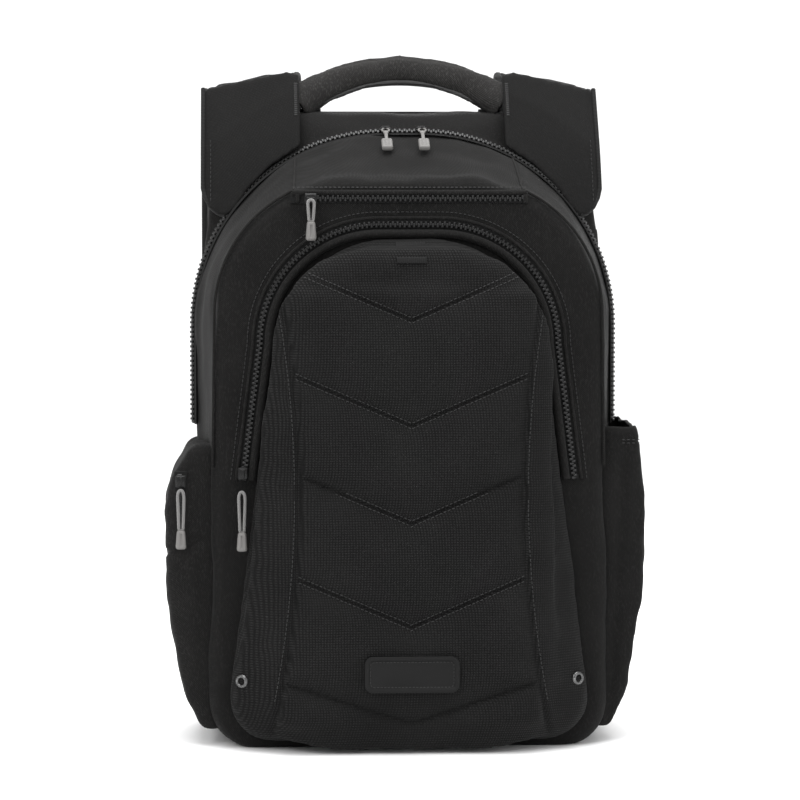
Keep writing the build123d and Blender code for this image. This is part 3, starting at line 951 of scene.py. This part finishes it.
def make_right_pocket():
    low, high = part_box("right_pocket")
    y0, y1 = low[1] / MM, high[1] / MM
    top = high[2] / MM
    outline = [(140, 12), (153, 12), (166, 40), (178, 112), (180, 188), (172.5, top), (140, top)]
    skin = pocket_form("right_pocket_cloth", 1, outline, y1, y0, SIDE_CLOTH)
    remesh(skin, 3.2)
    relax(skin, 6)

    def move(p, n):
        off = smooth(152, 164, abs(p.x))
        fold = 1.9 * ripple(Vector((p.x, p.y * 1.6, p.z * 0.4)), 28, 21.3) + 0.8 * ripple(p, 13, 6.1)
        crease = -2.6 * math.exp(-((p.x - 158 - (p.z - 120) * 0.05) / 3.0) ** 2) * smooth(230, 200, p.z)
        band = -0.8 * math.exp(-((p.z - (top - 13)) / 1.6) ** 2)
        return n * (fold * off + band + crease * smooth(-0.3, -0.8, n.y))

    shape(skin, move)
    open_where(skin, lambda c, n: (n.x < -0.8 and c.x < 150) or (n.z > 0.75 and c.z > top - 8))
    surface = surface_of(skin)
    thicken(skin, 2.2)
    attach(skin, "pack")
    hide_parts("right_pocket")
    for drop in (12.0, 14.5):
        line = [Vector((x, y0, top - drop)) for x in range(160, 176, 3)]
        stitches(f"bottle_pocket_hem_{int(drop)}", line, FRONT, "pack", skin=surface)


# ---- straps, handle and back ------------------------------------------------------------------
STRAP_LINE = [(99.8, 470), (100.8, 496), (108, 504), (116, 507), (126, 495), (131, 478), (133.5, 400),
              (134, 300), (130, 235), (126, 178)]


def make_strap(side, name):
    """A padded shoulder strap with bound edges, a crowned middle and a shallow groove near each edge."""
    low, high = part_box("shoulder_strap_" + name)
    inner = min(abs(low[0]), abs(high[0])) / MM
    outer = max(abs(low[0]), abs(high[0])) / MM
    bm = bmesh.new()
    rows = []
    for x in (inner, outer):
        row = [bm.verts.new((side * x * MM, y * MM, z * MM)) for y, z in STRAP_LINE]
        rows.append([bm.edges.new(pair) for pair in zip(row, row[1:])])
    bmesh.ops.bridge_loops(bm, edges=rows[0] + rows[1])
    skin = mesh_object(f"shoulder_strap_{name}_pad", bm, WING_CLOTH)
    wall = skin.modifiers.new("Foam", "SOLIDIFY")
    wall.thickness = 9.0 * MM
    wall.offset = 0
    bake_modifiers(skin)
    remesh(skin, 2.8)
    relax(skin, 4)
    middle = side * (inner + outer) / 2
    half = (outer - inner) / 2

    def move(p, n):
        across = abs(p.x - middle) / half
        crown = 1.4 * (1 - across ** 2) if abs(n.x) < 0.5 else 0
        groove = -1.3 * math.exp(-((across - 0.8) * half / 1.6) ** 2) if abs(n.x) < 0.6 else 0
        crease = 1.3 * ripple(Vector((p.x * 1.5, p.y, p.z * 0.28)), 17, 31.7 + side)
        outward = (abs(p.x) - inner) / (outer - inner)
        slope = Vector((0, 0, -13.0 * outward * smooth(455, 500, p.z)))
        narrow = Vector((-(p.x - middle) * 0.22 * smooth(300, 185, p.z), 0, 0))
        return n * (crown + groove + crease) + slope + narrow

    shape(skin, move)
    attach(skin, "strap_" + name)
    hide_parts("shoulder_strap_" + name)
    surface = surface_of(skin)
    for edge, where in (("outer", outer), ("inner", inner)):
        points = []
        for (y, z), (y2, z2) in zip(STRAP_LINE, STRAP_LINE[1:]):
            for k in range(6):
                yy, zz = y + (y2 - y) * k / 6, z + (z2 - z) * k / 6
                outward = 1.0 if edge == "outer" else 0.0
                x = middle + (side * where - middle) * (1 - 0.22 * smooth(300, 185, zz))
                points.append(Vector((x, yy, zz - 13.0 * outward * smooth(455, 500, zz))))
        piping(f"strap_{name}_{edge}_binding", points, 3.6, BINDING, "strap_" + name)
        inward = -side * 7.5 if edge == "outer" else side * 7.5
        row = [p + Vector((inward, 0, 0)) for p in points if p.z > 465]
        stitches(f"strap_{name}_{edge}_stitch", row[:18], FRONT, "strap_" + name, skin=surface)


WING = [(79, 450), (79, 507), (88, 509), (150, 497), (154, 493), (154, 414), (149, 403), (138, 396),
        (129, 402), (117, 420), (103, 434), (90, 443)]


def make_wing(side, name):
    """The shoulder panel that runs from the main zip's arch up and back to a strap's crest."""
    bm = bmesh.new()
    verts = [bm.verts.new((side * x * MM, 0, z * MM)) for x, z in WING]
    face = bm.faces.new(verts)
    drawn = bmesh.ops.extrude_face_region(bm, geom=[face])["geom"]
    shift(bm, drawn, (0, 6 * MM, 0))
    panel = mesh_object(f"shoulder_panel_{name}", bm, WING_CLOTH)
    remesh(panel, 2.4)
    relax(panel, 3)
    centre = Vector((MAIN["half"] - MAIN["corner"], MAIN["top"] - MAIN["corner"]))

    def depth(x, z):
        out = (Vector((abs(x), z)) - centre).length - MAIN["corner"]
        return 27 + 0.72 * min(max(out, 0), 45) + 0.9 * max(out - 45, 0)

    def move(p, n):
        crease = 2.4 * ripple(Vector((p.x * 1.2, 0, p.z * 0.35)), 42, 17.0 + side)
        edge = smooth(0, 7, 154 - abs(p.x))
        groove = -1.6 * math.exp(-((abs(p.x) - 146.5) / 1.3) ** 2) * smooth(400, 412, p.z)
        return Vector((0, depth(p.x, p.z) - 3.0 * edge + crease * edge, 0)) + n * groove

    shape(panel, move)
    surface = surface_of(panel)
    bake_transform(panel)
    rim = [(136, 397.5), (142, 399.5), (147.5, 404), (151.5, 411)] + [(153.5, z) for z in range(418, 497, 6)]
    outer = [Vector((side * x, depth(x, z) - 0.5, z)) for x, z in rim]
    edge = tube(f"shoulder_panel_{name}_binding", outer, 1.9, BINDING)
    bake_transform(edge)
    row = [Vector((side * 147.5, 20, z)) for z in range(408, 462, 6)]
    stitches(f"shoulder_panel_{name}_stitch", row, FRONT, "pack", skin=surface)
    tack = [Vector((side * 82, 20, z)) for z in (474, 500)]
    bm = bmesh.new()
    for place, along in walk(tack, 1.5):
        hit, _, _, _ = surface.ray_cast((place + FRONT * 40) * MM, -FRONT)
        spot = hit / MM if hit else place
        box_mesh(bm, (-0.6, -1.3, -0.5), (0.6, 1.3, 0.5), frame_at(spot, along, FRONT), 0.3, 1)
    bar = mesh_object(f"shoulder_panel_{name}_bartack", bm, THREAD)
    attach(bar, "strap_" + name)


def make_section_piping(surface):
    """Thin piping along the front section's corner, and the upper panel's two side seams."""
    for side, name in SIDES:
        arch = arch_path(SECTION, PANEL + 4, 1.2, FOLD + 14)
        half = [p for p in arch if p.x * side > 84]
        piping(f"section_piping_{name}", half, 1.15, CLOTH, "main_flap")
        seam = []
        for k in range(15):
            z = 408 + 46 * k / 14
            hit, _, _, _ = surface.ray_cast(Vector((side * (86 - 4 * k / 14), -200, z)) * MM, -FRONT)
            if hit:
                seam.append(hit / MM + Vector((0, -0.2, 0.2)))
        if len(seam) > 3:
            piping(f"upper_panel_seam_{name}", seam, 0.9, CLOTH, "main_flap")


def make_eyelets(surface):
    """Two dark metal eyelets, set in the lower sides of the front pocket."""
    low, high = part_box("eyelets")
    for side, name in SIDES:
        x = side * (high[0] - 0.0042) / MM
        z = (low[2] + high[2]) / 2 / MM
        hit, normal, _, _ = surface.ray_cast(Vector((x, -200, z)) * MM, -FRONT)
        place = frame_at(hit / MM, Vector((0, 0, 1)), normal if normal.y < 0 else -normal)
        bm = bmesh.new()
        outline = [(2.7, -1.2), (2.6, 0.5), (3.1, 1.3), (4.2, 1.3), (5.2, 0.5), (5.3, -0.4)]
        verts = [bm.verts.new((r * MM, 0, h * MM)) for r, h in outline]
        edges = [bm.edges.new(pair) for pair in zip(verts, verts[1:] + verts[:1])]
        bmesh.ops.spin(bm, geom=verts + edges, cent=(0, 0, 0), axis=(0, 0, 1), angle=2 * math.pi, steps=28,
                       use_merge=True)
        bmesh.ops.transform(bm, matrix=place, verts=bm.verts)
        ring_piece = mesh_object("eyelet_ring_" + name, bm, EYELET)
        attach(ring_piece, "pack")
        bm = bmesh.new()
        bmesh.ops.create_circle(bm, cap_ends=True, segments=20, radius=2.75 * MM,
                                matrix=place @ Matrix.Translation((0, 0, -0.0006)))
        hole = mesh_object("eyelet_hole_" + name, bm, TAPE)
        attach(hole, "pack")


def make_handle():
    """The padded carry handle: a crowned arc with bound edges over a dark band of ribbed webbing, partly the
    fabric's own dark and partly painted shade for the back panel's top edge lying in shade under the arc.
    """
    low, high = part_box("handle_pad")
    y0, y1 = low[1] / MM, high[1] / MM
    top = high[2] / MM
    half = high[0] / MM + 2
    lean = 15                                     # how far the sewn ends come forward
    ends = 485                                    # height of the centre line at the sewn ends
    rise = top - 11.5 - ends

    def centre(share):
        return Vector((half * share, (y0 + y1) / 2 - lean * abs(share) ** 5, ends + rise * (1 - share ** 2)))

    bm = bmesh.new()
    count = 24
    rings = []
    for k in range(count + 1):
        share = 2 * k / count - 1
        tall = 11.0 + 3.0 * share ** 2
        tangent = Vector((1, 0, -rise * 2 * share / half)).normalized()
        matrix = frame_at(centre(share), tangent, Vector((0, 0, 1)))
        turn = matrix @ Matrix.Rotation(math.pi / 2, 4, "Y")
        oval = turn @ Matrix.Diagonal((tall, (y1 - y0) / 2, 1, 1))
        made = bmesh.ops.create_circle(bm, cap_ends=k in (0, count), segments=24, radius=1,
                                       matrix=oval)["verts"]
        for vertex in made:
            vertex.co = oval.translation + (vertex.co - oval.translation) * MM
        rings.append({e for v in made for e in v.link_edges if all(w in made for w in e.verts)})
    for first, second in zip(rings, rings[1:]):
        bmesh.ops.bridge_loops(bm, edges=list(first) + list(second))
    # The cushion takes the lighter twill, which is painted light on the handle's top.
    pad = mesh_object("handle_cushion", bm, HANDLE_CLOTH_LIT)
    remesh(pad, 2.2)
    relax(pad, 3)
    shape(pad, lambda p, n: n * (0.9 * ripple(Vector((p.x * 1.3, p.y, p.z)), 15, 4.6)
                                 - 1.2 * math.exp(-((p.y - y0 - 4.5) / 1.2) ** 2)))
    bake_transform(pad)
    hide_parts("handle_pad")
    shares = [k / 24 - 1 for k in range(49)]
    under = [centre(share) + Vector((0, -4.5, -9.4 - 3.0 * share ** 2)) for share in shares]
    trim = tube("handle_underside_trim", under, 1.5, UNDERSIDE)
    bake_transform(trim)
    for side, name in SIDES:
        x = side * (half + 0.5)
        trim_box("handle_end_tack_" + name, (x - 1.6, y0 - lean - 1, 470), (x + 1.6, y0 - lean + 6, 494),
                 BINDING, "pack", 0.8, 2)
    # The dark webbing band under the arc is painted shade: it fills where the back panel's top edge lies in
    # shade between the straps, over the fabric's own dark colour.
    bpy.data.objects["handle_webbing"].data.materials[0] = WEBBING


def make_back_pads():
    """Foam pads under air mesh, blown up as cloth so that their edges pull in."""
    for node in ("back_pad_left", "back_pad_right", "lumbar_pad"):
        low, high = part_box(node)
        bm = bmesh.new()
        box_mesh(bm, [c / MM for c in low], [c / MM for c in high], None, 0, 1)
        upright_edges = [e for e in bm.edges if abs(e.verts[0].co.y - e.verts[1].co.y) > 5 * MM]
        bmesh.ops.bevel(bm, geom=upright_edges, offset=22 * MM, affect="EDGES", segments=8, profile=0.5,
                        material=-1)
        pad = mesh_object(node + "_foam", bm, AIR_MESH)
        remesh(pad, 4.5)
        relax(pad, 4)
        base = low[1] / MM + 1.0
        inflate(pad, 5.0)
        flat = high[1] / MM

        def move(p, n):
            rise = Vector((0, min(base - p.y, 0) if p.y < base else 0, 0))
            groove = -1.8 * math.exp(-(((p.z - low[2] / MM) % 62 - 31) / 2.6) ** 2) * smooth(0.2, 0.8, n.y)
            over = Vector((0, -max(0, p.y - flat - 4), 0))
            return rise + n * groove + over

        shape(pad, move)
        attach(pad, "pack")
        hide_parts(node)


def inflate(piece, limit):
    """Blows a closed piece up a little as cloth under pressure and keeps the result."""
    before = [v.co.copy() for v in piece.data.vertices]
    cloth = piece.modifiers.new("Cloth", "CLOTH")
    cloth.settings.use_pressure = True
    cloth.settings.uniform_pressure_force = 4
    cloth.settings.effector_weights.gravity = 0
    scene = bpy.context.scene
    for step in range(1, 16):
        scene.frame_set(step)
    bake_modifiers(piece)
    scene.frame_set(1)
    for vertex, start in zip(piece.data.vertices, before):
        step = vertex.co - start
        if step.length > limit * MM:
            vertex.co = start + step.normalized() * limit * MM


# ---- small trim -------------------------------------------------------------------------------
def make_badge():
    """A bare rubber badge with a raised rim and a row of stitches."""
    low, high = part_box("badge_patch")
    x0, x1 = low[0] / MM, high[0] / MM
    z0, z1 = low[2] / MM, high[2] / MM
    y = low[1] / MM - 2.4
    bm = bmesh.new()
    box_mesh(bm, (x0, y - 1.3, z0), (x1, y + 1.4, z1), None, 0, 1)
    corners = [e for e in bm.edges if abs(e.verts[0].co.y - e.verts[1].co.y) > 2 * MM]
    bmesh.ops.bevel(bm, geom=corners, offset=6 * MM, affect="EDGES", segments=8, profile=0.5, material=-1)
    front = [f for f in bm.faces if f.normal.y < -0.98]
    rim = [e for f in front for e in f.edges]
    bmesh.ops.bevel(bm, geom=rim, offset=0.5 * MM, affect="EDGES", segments=3, profile=0.5, material=-1)
    bm.normal_update()
    front = [f for f in bm.faces if f.normal.y < -0.999 and f.calc_area() > 300 * MM * MM]
    bmesh.ops.inset_region(bm, faces=front, thickness=1.9 * MM, depth=0)
    bmesh.ops.inset_region(bm, faces=front, thickness=0.5 * MM, depth=-0.6 * MM)
    badge = mesh_object("badge_plate", bm, BADGE)
    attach(badge, "pack")
    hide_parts("badge_patch")
    line = []
    radius = 3.0
    reach = 4.2 + radius                          # from an edge to the centre of the row's corner
    for cx, cz, start in ((x1 - reach, z1 - reach, 90), (x1 - reach, z0 + reach, 0),
                          (x0 + reach, z0 + reach, -90), (x0 + reach, z1 - reach, -180)):
        for k in range(5):
            turn = math.radians(start - 90 * k / 4)
            line.append(Vector((cx + radius * math.cos(turn), y - 0.75, cz + radius * math.sin(turn))))
    line.append(line[0])
    stitches("badge_stitch", line, FRONT, "pack", 2.6, 1.7, 0.26)


def make_label(surface):
    """A folded woven label, left bare."""
    low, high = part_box("woven_label")
    x0, x1, z0, z1 = low[0] / MM, high[0] / MM, low[2] / MM, high[2] / MM
    y = low[1] / MM - 3.2
    bm = bmesh.new()
    box_mesh(bm, (x0, y - 0.5, z0), (x1, y + 0.8, z1), None, 0.35, 2)
    box_mesh(bm, (x0 + 0.1, y - 1.1, z0 - 0.2), (x1 - 0.1, y + 0.2, z0 + 4.6), None, 0.5, 3)
    for vertex in bm.verts:                       # it hangs from the lip down the pocket's sloping top
        height = 364 + 15 * (vertex.co.z / MM - z0) / (z1 - z0)
        hit, _, _, _ = surface.ray_cast(Vector((0, -200, height)) * MM, -FRONT)
        vertex.co.y += (hit.y / MM if hit else y) * MM - (y + 0.6) * MM
        vertex.co.z = height * MM
    label = mesh_object("woven_label_cloth", bm, LABEL)
    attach(label, "pocket_flap")
    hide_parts("woven_label")


def make_end_tab():
    """The small sewn tab beside the lower end of the front zip."""
    x, z = -(POCKET["half"] - 33), FOLD + 9
    trim_box("zip_end_tab", (x - 5, PANEL - 8.0, z - 5), (x + 5, PANEL - 5.2, z + 5), CLOTH,
             "pocket_flap", 0.8, 2)


# ---- studio -----------------------------------------------------------------------------------
def area_light(name, place, aim, size, power):
    data = bpy.data.lights.new(name, "AREA")
    data.energy = power
    data.size = size
    light = bpy.data.objects.new(name, data)
    light.location = place
    light.rotation_euler = (Vector(aim) - Vector(place)).to_track_quat("-Z", "Y").to_euler()
    bpy.context.scene.collection.objects.link(light)


def make_studio():
    """A white floor that sweeps up behind, a white sky and four soft lights."""
    bm = bmesh.new()
    near = [bm.verts.new((x, -6.0, 0)) for x in (-7.0, 7.0)]
    edge = bm.edges.new(near)
    drawn = bmesh.ops.extrude_edge_only(bm, edges=[edge])["geom"]
    shift(bm, drawn, (0, 8.5, 0))
    back = [g for g in drawn if isinstance(g, bmesh.types.BMEdge)]
    swept = bmesh.ops.spin(bm, geom=back + list(back[0].verts), cent=(0, 2.5, 1.2), axis=(1, 0, 0),
                           angle=math.pi / 2, steps=14)["geom_last"]
    top = [g for g in swept if isinstance(g, bmesh.types.BMEdge)]
    raised = bmesh.ops.extrude_edge_only(bm, edges=top)["geom"]
    shift(bm, raised, (0, 0, 3.5))
    floor_finish = Finish("studio_floor", 0.9)
    where, _ = floor_finish.place()
    cloud = floor_finish.noise(where, 0.002, 1.0)
    floor_finish.feed("Base Color", floor_finish.mix(cloud, tone(0.9), tone(0.92)))
    floor = mesh_object("studio_floor", bm, floor_finish.material)
    world = bpy.data.worlds.new("studio")
    world.use_nodes = True
    world.node_tree.nodes["Background"].inputs["Color"].default_value = (1, 1, 1, 1)
    world.node_tree.nodes["Background"].inputs["Strength"].default_value = 1.05
    bpy.context.scene.world = world
    area_light("key", (-1.3, -1.9, 1.7), (0, 0, 0.25), 1.2, 24)
    area_light("fill", (1.7, -1.6, 0.9), (0, 0, 0.25), 1.4, 9)
    area_light("top", (0.0, -0.2, 1.9), (0, 0, 0.3), 1.6, 44)
    area_light("back", (0.5, 1.8, 1.2), (0, 0, 0.25), 1.6, 16)
    bpy.context.scene.view_settings.view_transform = "Standard"


def finish_frame_nodes():
    """Gives the frame's own nodes that stay in view their finishes."""
    finishes = {"strap_yoke": CLOTH, "laptop_sleeve": LINING, "handle_tabs": WEBBING, "eyelets": EYELET}
    for side in ("left", "right"):
        finishes.update({"ladder_lock_" + side: BUCKLE, "webbing_tail_" + side: WEBBING,
                         "lower_webbing_" + side: WEBBING, "strap_anchor_" + side: WEBBING})
    for name, finish in finishes.items():
        node = bpy.data.objects[name]
        for slot in node.material_slots:
            slot.material = finish


set_camera()
make_cords()
section_surface = make_front_section()
make_section_piping(section_surface)
quilt_surface = make_pocket()
sew_quilt(quilt_surface)
make_eyelets(quilt_surface)
make_rear()
make_main_zip()
make_front_zip()
make_top_zip()
make_sliders()
make_left_pocket()
make_right_pocket()
for side in SIDES:
    make_wing(*side)
for side in SIDES:
    make_strap(*side)
make_handle()
make_back_pads()
make_badge()
make_label(quilt_surface)
make_end_tab()
finish_frame_nodes()
make_studio()
